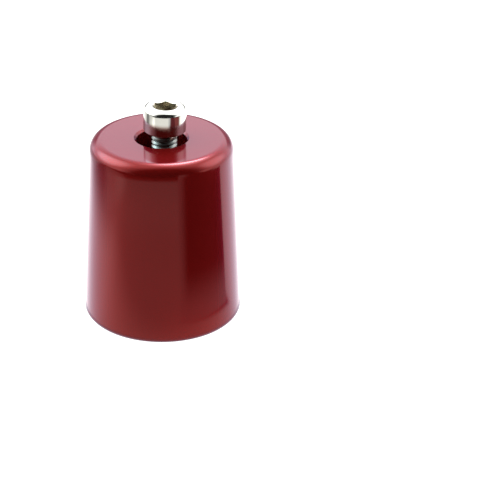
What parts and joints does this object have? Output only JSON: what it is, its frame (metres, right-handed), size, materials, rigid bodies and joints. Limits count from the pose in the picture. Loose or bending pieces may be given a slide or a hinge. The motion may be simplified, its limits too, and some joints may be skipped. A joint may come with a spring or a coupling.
{
  "type": "bar end weight",
  "caption": "Tapered round handlebar end weight, turned and red anodised, with a stepped recess for the bar and a counterbored hole in which its socket head screw stands loose.",
  "frame": {"origin": "centre of the large end face, which meets the bar and which the weight stands on", "axes": "+Z along the turned axis, from the bar side to the small end; the loose screw leans along +X"},
  "size_m": [0.0378, 0.0378, 0.0531],
  "materials": {
    "red_anodised": "gloss",
    "bright_steel": "polished"
  },
  "bodies": {
    "root": {"weight_body": "red_anodised", "cap_screw": "bright_steel"}
  },
  "joints": []
}
